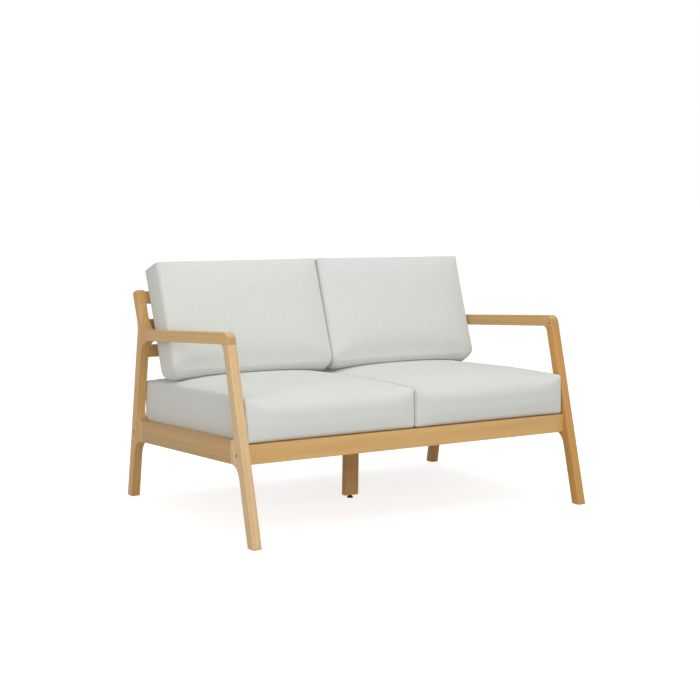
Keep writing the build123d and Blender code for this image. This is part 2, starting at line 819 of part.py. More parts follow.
def main():
    left, side_dowels = side_frame()
    front_rail = cross_rail(front_rail_face_y, front_rail_bottom_z)
    rear_rail = cross_rail(rear_rail_face_y, rear_rail_top_z - rail_height)
    groups = {"frame_dowels": [d for pin in side_dowels for d in both_sides(pin)]}
    for centre, nut_side, rail_name in ((front_rail_centre, 1, "front"), (rear_rail_centre, -1, "rear")):
        pieces, holes = corner_fixings(centre, nut_side)
        leg = f"{rail_name}_leg"
        left[leg] = one(left[leg] - holes)
        mirrored = [mirror(hole, about=Plane.YZ) for hole in holes]
        if rail_name == "front":
            front_rail = one(front_rail - holes - mirrored)
        else:
            rear_rail = one(rear_rail - holes - mirrored)
        for node, made in pieces.items():
            for piece in made if isinstance(made, list) else [made]:
                groups.setdefault(node, []).extend(both_sides(piece))

    slats, slots = {}, []
    top_start = along(post_front, post_rise - back_slat_top_gap)
    for number, name in enumerate(("top", "middle")):
        start = along((top_start, post_front[1]), -back_slat_spacing * number)
        slats[f"{name}_back_slat"], slot = back_slat(post_front, start)
        slots.append(slot)
    lower_centre = meet(rear_leg_front, level(lower_slat_z))
    lower_start = along((lower_centre, rear_leg_front[1]), back_slat_height / 2)
    slats["lower_back_slat"], slot = back_slat(rear_leg_front, lower_start)
    slots.append(slot)
    left["rear_leg"] = one(left["rear_leg"] - slots)

    deck, front_rail, rear_rail = seat_deck(front_rail, rear_rail)
    plate, screws, stretcher_holes, rail_holes = bracket()
    left["side_rail"] = one(left["side_rail"] - rail_holes)
    stretcher_holes = [hole for left_hole in stretcher_holes for hole in both_sides(left_hole)]
    middle, stretcher = centre_leg(one(deck["middle_stretcher"] - stretcher_holes))
    deck["middle_stretcher"] = stretcher
    groups["stretcher_brackets"] = both_sides(plate)
    groups["bracket_screws"] = [s for piece in screws for s in both_sides(piece)]
    groups["arm_pegs"] = both_sides(left.pop("arm_peg"))

    for name, piece in left.items():
        for side, solid in zip(("left", "right"), both_sides(piece)):
            write(f"{side}_{name}", solid)
    write("front_rail", front_rail)
    write("rear_rail", rear_rail)
    for collection in (groups, slats, deck, middle, cushions()):
        for node, pieces in collection.items():
            write(node, pieces)


main()
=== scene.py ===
import json
import math
import time

import bpy
import numpy as np
from mathutils import Matrix, Vector


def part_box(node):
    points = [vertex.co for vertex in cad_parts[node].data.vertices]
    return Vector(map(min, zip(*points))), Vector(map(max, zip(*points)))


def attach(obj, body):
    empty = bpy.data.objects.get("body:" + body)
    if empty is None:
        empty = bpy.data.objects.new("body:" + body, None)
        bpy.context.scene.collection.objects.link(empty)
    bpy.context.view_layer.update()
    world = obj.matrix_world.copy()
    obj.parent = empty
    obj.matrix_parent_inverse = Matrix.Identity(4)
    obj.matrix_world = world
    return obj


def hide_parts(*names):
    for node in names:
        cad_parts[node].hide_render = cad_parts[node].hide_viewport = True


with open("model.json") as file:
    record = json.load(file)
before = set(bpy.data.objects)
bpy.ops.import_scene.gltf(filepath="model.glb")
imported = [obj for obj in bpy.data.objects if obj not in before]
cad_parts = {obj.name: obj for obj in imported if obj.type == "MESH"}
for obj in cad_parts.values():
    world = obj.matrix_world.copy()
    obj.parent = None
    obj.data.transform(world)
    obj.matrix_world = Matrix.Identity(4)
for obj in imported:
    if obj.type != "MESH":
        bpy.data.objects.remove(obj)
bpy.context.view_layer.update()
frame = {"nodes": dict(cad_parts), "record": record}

# Patio loveseat in oiled hardwood with loose seat and back cushions in pale grey canvas.
# Metres. X is the width, the front faces -Y, Z is up. Left is -X, as seen from the front.

nodes = frame["nodes"]

seatSlope = math.radians(3.13)
backLean = math.radians(21)
frontLegLean = math.radians(15.5)
rearLegLean = math.radians(8.4)
armSlope = math.radians(4.84)


# Small helpers

def srgb(code):
    # an sRGB hex colour as the linear colour that the shaders take
    channels = [int(code[n : n + 2], 16) / 255 for n in (1, 3, 5)]
    return [c / 12.92 if c <= 0.04045 else ((c + 0.055) / 1.055) ** 2.4 for c in channels] + [1]


def addNode(tree, kind, inputs=None, output=0, **settings):
    # a shader node with its settings, its inputs set or linked, and one of its outputs given back
    node = tree.nodes.new("ShaderNode" + kind)
    for name, value in settings.items():
        setattr(node, name, value)
    for socket, value in (inputs or {}).items():
        if isinstance(value, bpy.types.NodeSocket):
            tree.links.new(value, node.inputs[socket])
        else:
            node.inputs[socket].default_value = value
    return node.outputs[output] if len(node.outputs) else node


def newMaterial(name):
    material = bpy.data.materials.new(name)
    material.use_nodes = True
    tree = material.node_tree
    return material, tree, tree.nodes["Principled BSDF"]


def dress(node, material):
    obj = nodes[node]
    obj.data.materials.clear()
    obj.data.materials.append(material)


# Eucalyptus, planed and oiled: warm gold with a low sheen. Growth rings round a pith that lies
# outside the board, cut by its faces, then fibres and short pores along the grain, and darker
# end grain.
woodLook = {
    "light": "#DEB376",
    "dark": "#BC8749",
    "end": "#B48C60",
    "pore": "#8A5F35",
    "ringWidth": 0.0075,
    # how many rings the pattern wanders by, and how soon along and across the board
    "ringWander": 1.6,
    "wanderLength": 0.45,
    "wanderWidth": 0.05,
    "fibreWidth": 0.0012,
    "fibreLength": 0.045,
    "poreWidth": 0.0007,
    "poreLength": 0.016,
    # how far each layer goes to its darker colour
    "ringDepth": 0.26,
    "fibreDepth": 0.20,
    "poreDepth": 0.28,
    # noise values where each layer starts and is full
    "ringEdges": (0.38, 0.68),
    "fibreEdges": (0.35, 0.75),
    "poreEdges": (0.62, 0.72),
    # broad darker and lighter stretches: their size, least shade and range
    "broadLength": 0.6,
    "broadWidth": 0.03,
    "broadLeast": 0.85,
    "broadRange": 0.30,
    # faces across the grain, by the cosine to it, take this share of the end colour
    "endEdges": (0.75, 0.95),
    "endDepth": 0.7,
    "roughness": 0.39,
    "roughRange": 0.2,
    "bumpStrength": 0.5,
    "bumpHeight": 0.0002,
    "specular": 0.25,
    # where the pith lies beside each board, and how far it differs from board to board
    "pithSide": 0.05,
    "pithAway": 0.055,
    "pithRange": 0.035,
    # boards from other logs, as shares of the red, green and blue of the colours above. These shares are
    # partly painted light: the darker, richer ones paint the shade on boards under the seat, behind the
    # cushions and along the left side, and the pale one of the left front leg paints a highlight
    "boardTonesAndLight": {
        "left_front_leg": (0.97, 1.10, 1.50),
        "left_rear_leg": (0.85, 0.84, 0.84),
        "left_arm": (0.87, 0.92, 0.96),
        "left_side_rail": (0.69, 0.68, 0.65),
        "front_rail": (0.89, 0.88, 0.88),
        "right_front_leg": (0.80, 0.69, 0.54),
        "right_rear_leg": (0.72, 0.62, 0.52),
        "right_arm": (0.77, 0.78, 0.78),
        "centre_leg": (0.80, 0.74, 0.72),
        "middle_back_slat": (0.64, 0.63, 0.67),
        "lower_back_slat": (0.94, 0.82, 0.72),
    },
    "otherBoards": (0.96, 0.96, 0.96),
    "boardRange": 0.02,
}


def woodMaterial(name, along, across, centre, pith, boardToneAndLight):
    look = woodLook
    material, tree, shader = newMaterial(name)
    coords = addNode(tree, "TexCoord").node.outputs
    place = addNode(tree, "VectorMath", {0: coords["Object"], 1: centre}, operation="SUBTRACT")
    # the place in the board: along the grain, across its wide face, and into it
    a, c, d = [
        addNode(tree, "VectorMath", {0: place, 1: way}, "Value", operation="DOT_PRODUCT")
        for way in (along, across, along.cross(across))
    ]

    def streaks(length, width, detail=1.0, roughness=0.5):
        # noise drawn out along the grain, in streaks of this length and width
        sizes = ((a, length), (c, width), (d, width))
        parts = [addNode(tree, "Math", {0: part, 1: size}, operation="DIVIDE") for part, size in sizes]
        drawn = addNode(tree, "CombineXYZ", dict(enumerate(parts)))
        inputs = {"Vector": drawn, "Scale": 1.0, "Detail": detail, "Roughness": roughness}
        return addNode(tree, "TexNoise", inputs)

    # rings: the distance from the pith in ring widths, wandering along the board
    aside = addNode(tree, "Math", {0: c, 1: pith[0]}, operation="ADD")
    below = addNode(tree, "Math", {0: d, 1: pith[1]}, operation="ADD")
    fromPith = addNode(tree, "CombineXYZ", {"Y": aside, "Z": below})
    distance = addNode(tree, "VectorMath", {0: fromPith}, "Value", operation="LENGTH")
    counted = addNode(tree, "Math", {0: distance, 1: look["ringWidth"]}, operation="DIVIDE")
    wander = streaks(look["wanderLength"], look["wanderWidth"], 2.0)
    wander = addNode(tree, "Math", {0: wander, 1: look["ringWander"]}, operation="MULTIPLY")
    rings = addNode(tree, "Math", {0: counted, 1: wander}, operation="ADD")
    ringInputs = {"W": rings, "Scale": 1.0, "Detail": 1.0}
    late = addNode(tree, "TexNoise", ringInputs, noise_dimensions="1D")

    fibres = streaks(look["fibreLength"], look["fibreWidth"], 3.0, 0.6)
    pores = streaks(look["poreLength"], look["poreWidth"])
    colour = srgb(look["light"])
    for layer, pattern, tint in (("ring", late, "dark"), ("fibre", fibres, "dark"), ("pore", pores, "pore")):
        start, full = look[layer + "Edges"]
        edges = {"Value": pattern, "From Min": start, "From Max": full}
        strength = addNode(tree, "MapRange", edges, interpolation_type="SMOOTHSTEP")
        share = addNode(tree, "Math", {0: strength, 1: look[layer + "Depth"]}, operation="MULTIPLY")
        colour = addNode(tree, "Mix", {0: share, 6: colour, 7: srgb(look[tint])}, 2, data_type="RGBA")
    flecks = share

    broad = streaks(look["broadLength"], look["broadWidth"])
    shades = {0: broad, 1: look["broadRange"], 2: look["broadLeast"]}
    shade = addNode(tree, "Math", shades, operation="MULTIPLY_ADD")
    # the board's tone, with the painted shade and painted highlight of the table of boards, darkens or pales
    # the colour
    tonedAndLit = addNode(tree, "VectorMath", {0: boardToneAndLight, "Scale": shade}, operation="SCALE")
    inputs = {0: 1.0, 6: colour, 7: tonedAndLit}
    colour = addNode(tree, "Mix", inputs, 2, data_type="RGBA", blend_type="MULTIPLY")

    facing = addNode(tree, "VectorMath", {0: coords["Normal"], 1: along}, "Value", operation="DOT_PRODUCT")
    facing = addNode(tree, "Math", {0: facing}, operation="ABSOLUTE")
    edges = {"Value": facing, "From Min": look["endEdges"][0], "From Max": look["endEdges"][1]}
    strength = addNode(tree, "MapRange", edges, interpolation_type="SMOOTHSTEP")
    share = addNode(tree, "Math", {0: strength, 1: look["endDepth"]}, operation="MULTIPLY")
    colour = addNode(tree, "Mix", {0: share, 6: colour, 7: srgb(look["end"])}, 2, data_type="RGBA")
    tree.links.new(colour, shader.inputs["Base Color"])

    half = look["roughRange"] / 2
    inputs = {0: fibres, 1: look["roughRange"], 2: look["roughness"] - half}
    rough = addNode(tree, "Math", inputs, operation="MULTIPLY_ADD")
    tree.links.new(rough, shader.inputs["Roughness"])
    height = addNode(tree, "Math", {0: fibres, 1: flecks}, operation="SUBTRACT")
    relief = {"Strength": look["bumpStrength"], "Distance": look["bumpHeight"], "Height": height}
    tree.links.new(addNode(tree, "Bump", relief), shader.inputs["Normal"])
    shader.inputs["Specular IOR Level"].default_value = look["specular"]
    return material


def grainOf(node):
    # the way that each board's grain runs, and the way across its wide face
    if "front_leg" in node:
        return Vector((0, math.sin(frontLegLean), math.cos(frontLegLean))), Vector((0, 1, 0))
    if "rear_leg" in node:
        return Vector((0, -math.sin(rearLegLean), math.cos(rearLegLean))), Vector((0, 1, 0))
    if node.endswith("_arm"):
        return Vector((0, math.cos(armSlope), -math.sin(armSlope))), Vector((0, 0, 1))
    if "side_rail" in node:
        return Vector((0, math.cos(seatSlope), -math.sin(seatSlope))), Vector((0, 0, 1))
    if "seat_slat" in node:
        return Vector((0, math.cos(seatSlope), -math.sin(seatSlope))), Vector((1, 0, 0))
    if node == "centre_leg":
        return Vector((0, 0, 1)), Vector((1, 0, 0))
    return Vector((1, 0, 0)), Vector((0, 0, 1))


def dressTimber():
    look = woodLook
    subparts = frame["record"]["subparts"]
    woodNodes = [entry["node"] for entry in subparts if entry["material_slot"] == "oiled_hardwood"]
    for number, node in enumerate(sorted(woodNodes)):
        low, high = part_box(node)
        centre = (Vector(low) + Vector(high)) / 2
        along, across = grainOf(node)
        across = (across - along * across.dot(along)).normalized()
        # each board comes from its own place in the log, and so has its own rings and tone, by turns that
        # don't repeat. Its tone from the table above also carries painted shade or a painted highlight
        turn = number * 2.4
        aside = look["pithSide"] * math.cos(turn)
        away = look["pithAway"] + look["pithRange"] * math.sin(turn * 1.7)
        change = look["boardRange"] * math.sin(turn * 3.1)
        boardToneAndLight = [share + change for share in look["boardTonesAndLight"].get(node, look["otherBoards"])]
        dress(node, woodMaterial("eucalyptus-" + node, along, across, centre, (aside, away), boardToneAndLight))
    print("timber dressed")


dressTimber()

# Fittings. Each has one colour, broken by faint handling marks. markScale is in marks a metre,
# so 250 gives marks of 4 mm, and markDepth is the share of the colour that they keep.
markRange = 0.2  # of roughness
hardwareLooks = {
    # zinc-plated steel, barrel finished: grey, half dull
    "zinc_steel": {
        "colour": "#B9BCC0",
        "metallic": 1.0,
        "roughness": 0.38,
        "markScale": 260,
        "markDepth": 0.75,
    },
    # blackened steel: nearly black, dull
    "blackened_steel": {
        "colour": "#1D1D1E",
        "metallic": 0.8,
        "roughness": 0.5,
        "markScale": 300,
        "markDepth": 0.7,
    },
    # turned brass: a little tarnished
    "brass": {
        "colour": "#B89A5A",
        "metallic": 1.0,
        "roughness": 0.42,
        "markScale": 240,
        "markDepth": 0.7,
    },
    # moulded nylon: black, with a soft sheen
    "black_nylon": {
        "colour": "#151515",
        "metallic": 0.0,
        "roughness": 0.55,
        "markScale": 400,
        "markDepth": 0.8,
    },
    # turned plugs and pegs: darker than the boards, with pores of 1 mm
    "darker_hardwood": {
        "colour": "#A57C4C",
        "metallic": 0.0,
        "roughness": 0.55,
        "markScale": 900,
        "markDepth": 0.6,
    },
    # milled beech: pale, with flecks of 1 mm
    "beech_dowel": {
        "colour": "#CDAE84",
        "metallic": 0.0,
        "roughness": 0.7,
        "markScale": 900,
        "markDepth": 0.8,
    },
}


def plainMaterial(name, look):
    material, tree, shader = newMaterial(name)
    place = addNode(tree, "TexCoord", output="Object")
    marks = addNode(tree, "TexNoise", {"Vector": place, "Scale": look["markScale"], "Detail": 3.0})
    plain = srgb(look["colour"])
    marked = [channel * look["markDepth"] for channel in plain[:3]] + [1]
    colour = addNode(tree, "Mix", {0: marks, 6: plain, 7: marked}, 2, data_type="RGBA")
    tree.links.new(colour, shader.inputs["Base Color"])
    inputs = {0: marks, 1: markRange, 2: look["roughness"] - markRange / 2}
    rough = addNode(tree, "Math", inputs, operation="MULTIPLY_ADD")
    tree.links.new(rough, shader.inputs["Roughness"])
    shader.inputs["Metallic"].default_value = look["metallic"]
    return material


def dressHardware():
    made = {slot: plainMaterial(slot.replace("_", "-"), look) for slot, look in hardwareLooks.items()}
    for entry in frame["record"]["subparts"]:
        if entry["material_slot"] in made:
            dress(entry["node"], made[entry["material_slot"]])
    print("hardware dressed")


dressHardware()

# Canvas of olefin yarn in plain weave, dyed pale grey: matt, with a soft bloom and uneven yarns.
# The real threads lie about 0.6 mm apart, and are drawn coarser so that they show. The UV map
# holds metres along warp and weft.
canvasLook = {
    "colour": "#DEDFDB",
    "gapShadeAndSlubColour": "#C1C0BB",
    "pitch": 0.0011,
    # thicker and thinner stretches of yarn: how long they are, how far the noise moves on from
    # one thread to the next, and the noise values where they start and are full
    "slubLength": 0.05,
    "slubStep": 0.45,
    "slubEdges": (0.75, 1.3),
    # how far the gaps between threads go to that colour, as painted shade, and how far the slubs do, as
    # darker yarn
    "gapDepth": 0.45,
    "slubDepth": 0.15,
    "bumpStrength": 0.6,
    "bumpHeight": 0.0004,
    "roughness": 0.85,
    "sheen": 0.25,
    "specular": 0.2,
}


def canvasMaterial():
    look = canvasLook
    material, tree, shader = newMaterial("olefin-canvas")
    place = addNode(tree, "UVMap", uv_map="weave")
    parts = addNode(tree, "SeparateXYZ", {0: place}).node.outputs
    u = addNode(tree, "Math", {0: parts["X"], 1: look["pitch"]}, operation="DIVIDE")
    v = addNode(tree, "Math", {0: parts["Y"], 1: look["pitch"]}, operation="DIVIDE")

    def threads(over, under, shift):
        # one set of yarns: |sin(pi over)| across each yarn, times the share to which it lies on
        # top, (1 + cos(pi (under + floor(over) + shift))) / 2
        angle = addNode(tree, "Math", {0: over, 1: math.pi}, operation="MULTIPLY")
        sine = addNode(tree, "Math", {0: angle}, operation="SINE")
        across = addNode(tree, "Math", {0: sine}, operation="ABSOLUTE")
        yarn = addNode(tree, "Math", {0: over}, operation="FLOOR")
        shifted = addNode(tree, "Math", {0: yarn, 1: shift}, operation="ADD")
        turn = addNode(tree, "Math", {0: under, 1: shifted}, operation="ADD")
        angle = addNode(tree, "Math", {0: turn, 1: math.pi}, operation="MULTIPLY")
        wave = addNode(tree, "Math", {0: angle}, operation="COSINE")
        onTop = addNode(tree, "Math", {0: wave, 1: 0.5, 2: 0.5}, operation="MULTIPLY_ADD")
        return addNode(tree, "Math", {0: across, 1: onTop}, operation="MULTIPLY")

    def slubs(across, along):
        # uneven yarn: each thread's own shade, changing slowly along it
        step = look["pitch"] / look["slubLength"]
        x = addNode(tree, "Math", {0: across, 1: look["slubStep"]}, operation="MULTIPLY")
        y = addNode(tree, "Math", {0: along, 1: step}, operation="MULTIPLY")
        drawn = addNode(tree, "CombineXYZ", {"X": x, "Y": y})
        return addNode(tree, "TexNoise", {"Vector": drawn, "Scale": 1.0, "Detail": 1.0})

    height = {0: threads(u, v, 0.5), 1: threads(v, u, 1.5)}
    height = addNode(tree, "Math", height, operation="MAXIMUM")
    # the gaps between threads are darkened as painted shade
    gaps = addNode(tree, "Math", {0: 1.0, 1: height}, operation="SUBTRACT")
    gaps = addNode(tree, "Math", {0: gaps, 1: look["gapDepth"]}, operation="MULTIPLY")
    uneven = addNode(tree, "Math", {0: slubs(u, v), 1: slubs(v, u)}, operation="ADD")
    edges = {"Value": uneven, "From Min": look["slubEdges"][0], "From Max": look["slubEdges"][1]}
    uneven = addNode(tree, "MapRange", edges, interpolation_type="SMOOTHSTEP")
    uneven = addNode(tree, "Math", {0: uneven, 1: look["slubDepth"]}, operation="MULTIPLY")
    dim = addNode(tree, "Math", {0: gaps, 1: uneven}, operation="ADD")
    inputs = {0: dim, 6: srgb(look["colour"]), 7: srgb(look["gapShadeAndSlubColour"])}
    colour = addNode(tree, "Mix", inputs, 2, data_type="RGBA")
    tree.links.new(colour, shader.inputs["Base Color"])
    relief = {"Strength": look["bumpStrength"], "Distance": look["bumpHeight"], "Height": height}
    tree.links.new(addNode(tree, "Bump", relief), shader.inputs["Normal"])
    shader.inputs["Roughness"].default_value = look["roughness"]
    shader.inputs["Sheen Weight"].default_value = look["sheen"]
    shader.inputs["Specular IOR Level"].default_value = look["specular"]
    return material


canvas = canvasMaterial()

# Cushions. Each cover is one strip of cloth round the front, top, back and bottom of the foam,
# with a panel sewn in at each end. Its own axes: x from the outer end to the middle of the
# loveseat, y along its face, z out of its face. One cover is made for the left and mirrored.

seatLook = {
    "smaller": (0.001, 0.003, 0.018),  # than the CAD space, for the swell to fill
    "spacing": 0.009,
    # radii of the long edges in the middle and at the seams: front top, back top, back bottom,
    # front bottom
    "longRadii": (0.046, 0.018, 0.010, 0.018),
    "seamRadii": (0.008, 0.014, 0.010, 0.012),
    # radii of the end edges: top, back, bottom, front
    "outerRadii": (0.012, 0.014, 0.009, 0.009),
    "innerRadii": (0.008, 0.010, 0.016, 0.011),
    # how firmly each long edge is held, in the order of longRadii, and how far from it
    "longHold": (0.15, 0.5, 1.0, 1.0),
    "holdReach": 0.016,
    "pullIn": (0.0015, 0.0014, 0.0015),  # outer end, inner end, front and back
    # the cloth's springs, and the pressure of the foam in it
    "tension": 22.0,
    "bending": 2.0,
    "pressure": 4.0,
    "cap": 0.026,  # how far the swell may move a point
    "swell": (0.001, 0.003, 0.025, 0.0),  # ends, front and back, up, down
    "fullness": 1.0,
    "plainShare": 0.5,
    "crown": (3.2, 3.2),
    "bulge": 0.007,
    "flatBelow": True,
    "frontFall": 0.016,  # how far the crown comes down to the front
    "reach": (0.0, 0.0),
    "tilt": 0.0,
    "meet": 0.0028,  # how far right of the middle the two meet
    # how far the cover may pass the CAD space on the high and the low side of x, y and z
    "pastHigh": (0.0033, 0.001, 0.007),
    "pastLow": (0.0005, 0.006, 0.0),
}
backLook = {
    "smaller": (0.001, 0.002, 0.036),
    "spacing": 0.008,
    # front bottom, front top, back top, back bottom
    "longRadii": (0.042, 0.009, 0.009, 0.045),
    "seamRadii": (0.034, 0.008, 0.008, 0.045),
    # front, top, back, bottom
    "outerRadii": (0.014, 0.008, 0.012, 0.034),
    "innerRadii": (0.015, 0.006, 0.008, 0.026),
    "longHold": (0.6, 0.95, 0.95, 0.6),
    "holdReach": 0.014,
    "pullIn": (0.002, 0.0004, 0.001),
    "tension": 22.0,
    "bending": 2.0,
    "pressure": 4.0,
    "cap": 0.026,
    "swell": (0.003, 0.001, 0.018, 0.018),
    "fullness": 1.9,
    "plainShare": 0.3,
    "crown": (4.5, 4.5),
    "bulge": 0.0,
    "flatBelow": False,
    "frontFall": 0.0,
    # how far the lower side reaches down to rest, and the top leans forward
    "reach": (0.009, 0.003),
    "tilt": 0.7,  # degrees that the right one leans outwards
    "meet": 0.003,
    "pastHigh": (0.0033, 0.001, 0.004),
    "pastLow": (0.0005, 0.015, 0.0),
}


def gradedSteps(half, spacing, first=0.0018, growth=1.33):
    # steps from -half to half that start close together at both ends and grow to the spacing
    widths = np.minimum(first * growth ** np.arange(400), spacing)
    reach = np.concatenate([[0], np.cumsum(widths)])
    near = reach[reach < half * 0.5]
    count = max(int(np.ceil(2 * (half - near[-1]) / spacing)), 2)
    middle = np.linspace(-half + near[-1], half - near[-1], count + 1)
    return np.concatenate([-half + near[:-1], middle, half - near[:-1][::-1]])


def boxGrid(xs, ys, zs):
    # a closed box of quads with its corners at the given steps
    lattice = np.arange(len(xs) * len(ys) * len(zs)).reshape(len(xs), len(ys), len(zs))
    quads, sides = [], []
    for axis in range(3):
        for end in (0, -1):
            side = np.take(lattice, end, axis=axis)
            quad = np.stack([side[:-1, :-1], side[1:, :-1], side[1:, 1:], side[:-1, 1:]], axis=-1)
            quad = quad.reshape(-1, 4)
            turned = (end == 0) != (axis == 1)
            quads.append(quad[:, ::-1] if turned else quad)
            sides.append(np.full(len(quad), axis * 2 + (end == -1)))
    used, quads = np.unique(np.concatenate(quads), return_inverse=True)
    points = np.stack(np.meshgrid(xs, ys, zs, indexing="ij"), axis=-1).reshape(-1, 3)[used]
    return points, quads.reshape(-1, 4), np.concatenate(sides)


def endRadius(points, half, look, blend=0.015):
    # the radius of the end edges: the four sides' radii, each weighted by 1 / (d^2 + blend^2)^2,
    # d being the distance to that side
    high, low = half[1:] - points[:, 1:], half[1:] + points[:, 1:]
    sides = (high[:, 1], high[:, 0], low[:, 1], low[:, 0])
    weights = 1 / (np.array(sides) ** 2 + blend ** 2) ** 2
    outer, inner = (np.array(look[name])[:, None] for name in ("outerRadii", "innerRadii"))
    radii = np.where(points[:, 0] < 0, outer, inner)
    return ((weights * radii).sum(axis=0) / weights.sum(axis=0))[:, None]


def roundedBlock(points, half, look):
    # the section: its corner squares, each as wide as its radius, become quarter discs. The
    # radius goes from the middle's to the seam's by |x|^8
    section, room = points[:, 1:], half[1:]
    low, near = points[:, 2] < 0, points[:, 1] < 0
    corner = np.select([near & ~low, ~near & ~low, ~near & low], [0, 1, 2], 3)
    radius, seamRadius = (np.array(look[name])[corner] for name in ("longRadii", "seamRadii"))
    radius = (radius + (seamRadius - radius) * np.abs(points[:, 0] / half[0]) ** 8)[:, None]
    ends = endRadius(points, half, look)
    inside = np.clip(section, radius - room, room - radius)
    away = section - inside
    length = np.maximum(np.linalg.norm(away, axis=1), 1e-9)[:, None]
    profile = inside + away / length * np.abs(away).max(axis=1)[:, None]
    # the ends: in the plane of x and the section's outward way, the corner becomes an arc
    wide = np.maximum(radius, ends)
    outward = section - np.clip(section, wide - room, room - wide)
    outward /= np.maximum(np.linalg.norm(outward, axis=1), 1e-9)[:, None]
    alongX = np.clip(ends - (half[0] - np.abs(points[:, :1])), 0, None)
    acrossX = np.clip(ends - (room - np.abs(section)).min(axis=1)[:, None], 0, None)
    drawn = ends / np.maximum(np.hypot(alongX, acrossX), 1e-9) - 1
    drawn[(alongX <= 0) | (acrossX <= 0)] = 0
    lengthwise = points[:, :1] + np.sign(points[:, :1]) * alongX * drawn
    made = np.hstack([lengthwise, profile + outward * acrossX * drawn])
    # the sides draw in between the corners, by pull * (1 - t^2)
    share = made / half
    pull = np.where(share[:, 0] < 0, look["pullIn"][0], look["pullIn"][1])
    made[:, 0] -= np.sign(share[:, 0]) * pull * share[:, 0] ** 2 * (1 - share[:, 1] ** 2)
    pull = look["pullIn"][2]
    made[:, 1] -= np.sign(share[:, 1]) * pull * share[:, 1] ** 2 * (1 - share[:, 0] ** 2)
    return made


def seamDistance(points, half):
    # metres from the end seams over the cloth: above 0 on the strip, below 0 on the end panels
    strip = half[0] - np.abs(points[:, 0])
    panel = np.minimum(half[1] - np.abs(points[:, 1]), half[2] - np.abs(points[:, 2]))
    return np.where(strip > 1e-6, strip, -panel)


def heldShare(points, half, seam, look):
    # how firmly the seams and the foam's edges hold the cloth: 1 up to 0.4 of the reach, and
    # nothing past 1.4 of it
    reach = look["holdReach"]
    held = np.clip(1.4 - np.abs(seam) / reach, 0, 1)
    corners = ((-1, 1), (1, 1), (1, -1), (-1, -1))
    for (sy, sz), hold in zip(corners, look["longHold"]):
        gap = np.hypot(half[1] - sy * points[:, 1], half[2] - sz * points[:, 2])
        held = np.maximum(held, hold * np.clip(1.4 - gap / reach, 0, 1))
    if look["flatBelow"]:
        held[points[:, 2] < -half[2] + 1e-6] = 1
    return held


def coordinates(mesh):
    values = np.empty(len(mesh.vertices) * 3)
    mesh.vertices.foreach_get("co", values)
    return values.reshape(-1, 3)


def setCoordinates(mesh, points):
    mesh.vertices.foreach_set("co", np.ascontiguousarray(points).ravel())
    mesh.update()


def vertexNormals(mesh):
    values = np.empty(len(mesh.vertices) * 3)
    mesh.vertex_normals.foreach_get("vector", values)
    return values.reshape(-1, 3)


def applied(obj):
    # the object with its modifiers worked into its mesh
    graph = bpy.context.evaluated_depsgraph_get()
    mesh = bpy.data.meshes.new_from_object(obj.evaluated_get(graph))
    obj.modifiers.clear()
    obj.data = mesh
    return mesh


def storeValues(mesh, name, values):
    layer = mesh.attributes.new(name, "FLOAT", "POINT")
    layer.data.foreach_set("value", np.ascontiguousarray(values, dtype=np.float32))


def storedValues(mesh, name):
    values = np.empty(len(mesh.vertices), dtype=np.float32)
    mesh.attributes[name].data.foreach_get("value", values)
    return values


# the cloth's simulation, the same for every cover
clothRun = {"quality": 5, "mass": 0.4, "frames": 20}


def swollen(obj, look, held):
    # cloth under pressure, held along its seams by weights in tenths
    group = obj.vertex_groups.new(name="seams")
    for step in range(1, 11):
        chosen = np.flatnonzero(np.round(held * 10) == step)
        group.add(chosen.tolist(), step / 10, "REPLACE")
    cloth = obj.modifiers.new("swell", "CLOTH")
    settings = cloth.settings
    settings.quality = clothRun["quality"]
    settings.mass = clothRun["mass"]
    settings.tension_stiffness = look["tension"]
    settings.compression_stiffness = look["tension"]
    settings.shear_stiffness = look["tension"] / 2
    settings.bending_stiffness = look["bending"]
    settings.use_pressure = True
    settings.uniform_pressure_force = look["pressure"]
    settings.effector_weights.gravity = 0
    settings.vertex_group_mass = "seams"
    for number in range(1, clothRun["frames"] + 1):
        bpy.context.scene.frame_set(number)
    mesh = applied(obj)
    bpy.context.scene.frame_set(1)
    return mesh


def fitted(moved, flat, half, look):
    # the swell, capped, then brought to the fullness that the cushion has. Part of it is the
    # plain crown (1 - |x|^p) (1 - |y|^p), x and y from -1 to 1, which evens out the corners
    length = np.linalg.norm(moved, axis=1)[:, None]
    moved = moved * np.minimum(1, look["cap"] / np.maximum(length, 1e-9))
    ends, faces, up, down = look["swell"]
    moved[:, 0] *= ends / max(np.abs(moved[:, 0]).max(), 0.001)
    moved[:, 1] *= faces / max(np.abs(moved[:, 1]).max(), 0.001)
    rise = np.clip(moved[:, 2] / max(moved[:, 2].max(), 0.001), 0, 1)
    fall = np.clip(moved[:, 2] / min(moved[:, 2].min(), -0.001), 0, 1)
    full = look["fullness"]
    rise, fall = 1 - (1 - rise) ** full, 1 - (1 - fall) ** full
    share = np.abs(flat) / half
    crown = (1 - share[:, 0] ** look["crown"][0]) * (1 - share[:, 1] ** look["crown"][1])
    plain = look["plainShare"]
    rise += plain * (crown * (flat[:, 2] > 0) - rise)
    fall += plain * (crown * (flat[:, 2] < 0) - fall)
    moved[:, 2] = up * rise - down * fall
    # the front rounds out, by bulge * (1 - |x|^10) (1 - |z|^2.5)
    bulge = look["bulge"] * (1 - share[:, 0] ** 10) * (1 - share[:, 2] ** 2.5)
    moved[:, 1] -= bulge * np.clip(-flat[:, 1] / half[1], 0, 1) ** 4
    return moved


